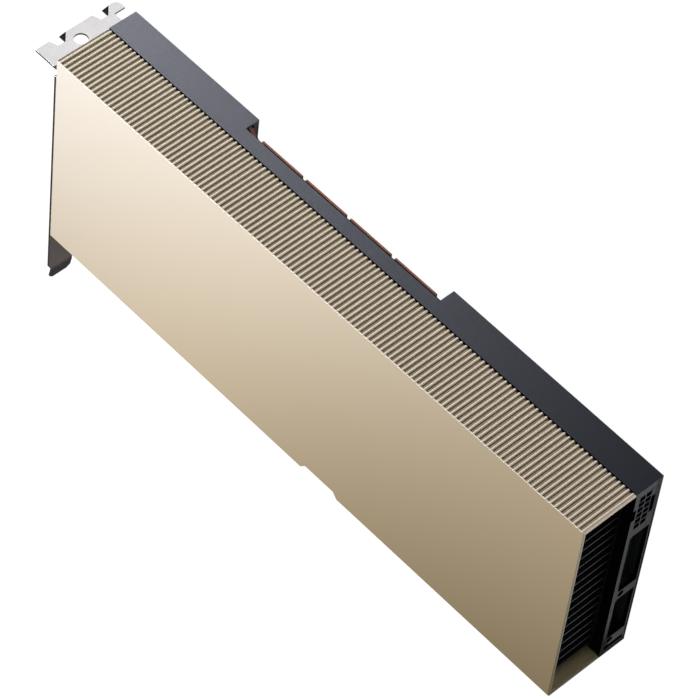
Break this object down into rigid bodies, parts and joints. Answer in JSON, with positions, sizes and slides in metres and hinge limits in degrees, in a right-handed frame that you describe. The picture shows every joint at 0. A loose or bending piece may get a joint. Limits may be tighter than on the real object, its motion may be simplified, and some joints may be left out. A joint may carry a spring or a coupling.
{
  "type": "passive accelerator card",
  "caption": "Full-length two-slot passive accelerator card with a ribbed champagne cover, dark frame, open fin duct, steel bracket and edge connector.",
  "frame": {"origin": "middle of the card's footprint, on the surface that it lies on; the card lies on its back with the cover up", "axes": "+X from the bracket to the open far end, +Y from the edge connector to the ribbed top edge, +Z out of the cover's face"},
  "size_m": [0.2792, 0.1266, 0.0388],
  "materials": {
    "black_nylon": "glass-filled black nylon",
    "black_screw": "black oxide",
    "board_laminate": "dark solder mask, red-brown cut edges",
    "ceramic": "tan ceramic with tinned ends",
    "champagne_anodising": "fine satin anodised, champagne gold",
    "dark_fin_metal": "dark anodised sheet with bare cut edges",
    "dark_powder_coat": "fine matte dark grey coating",
    "dark_sheet": "matte dark grey coated aluminium sheet",
    "ferrite": "pressed iron powder, dark grey",
    "gold_plating": "hard gold plating",
    "grey_paste": "grey thermal paste",
    "moulded_chip": "moulded black epoxy",
    "nickel_plate": "satin nickel",
    "nickelled_copper": "nickel-plated copper",
    "package_laminate": "green laminate",
    "plated_steel": "bright satin plated sheet steel",
    "silicon": "polished silicon",
    "soft_pad": "soft thermal pad",
    "spring_steel": "dull steel",
    "tantalum_case": "moulded case",
    "tinned_pin": "tinned brass"
  },
  "bodies": {
    "root": {"back_plate": "dark_sheet", "back_plate_screws": "black_screw", "bracket": "plated_steel", "bracket_screws": "black_screw", "bulk_capacitors": "tantalum_case", "ceramic_capacitors": "ceramic", "circuit_board": "board_laminate", "cover": "champagne_anodising", "edge_contacts_back": "gold_plating", "edge_contacts_front": "gold_plating", "filter_coils": "ferrite", "fin_base": "dark_fin_metal", "fins": "dark_fin_metal", "frame": "dark_powder_coat", "heat_sink_screws": "spring_steel", "inductor_1": "ferrite", "inductor_10": "ferrite", "inductor_11": "ferrite", "inductor_12": "ferrite", "inductor_2": "ferrite", "inductor_3": "ferrite", "inductor_4": "ferrite", "inductor_5": "ferrite", "inductor_6": "ferrite", "inductor_7": "ferrite", "inductor_8": "ferrite", "inductor_9": "ferrite", "link_contacts_back": "gold_plating", "link_contacts_front": "gold_plating", "management_controller": "moulded_chip", "memory_chip": "moulded_chip", "memory_stack_1": "silicon", "memory_stack_2": "silicon", "memory_stack_3": "silicon", "memory_stack_4": "silicon", "memory_stack_5": "silicon", "memory_stack_6": "silicon", "package_stiffener": "nickel_plate", "package_substrate": "package_laminate", "power_connector": "black_nylon", "power_pins": "tinned_pin", "power_regulator": "moulded_chip", "power_stages": "moulded_chip", "processor_die": "silicon", "spring_plate": "spring_steel", "thermal_pad_1": "soft_pad", "thermal_pad_2": "soft_pad", "thermal_paste": "grey_paste", "vapour_chamber": "nickelled_copper"}
  },
  "joints": []
}
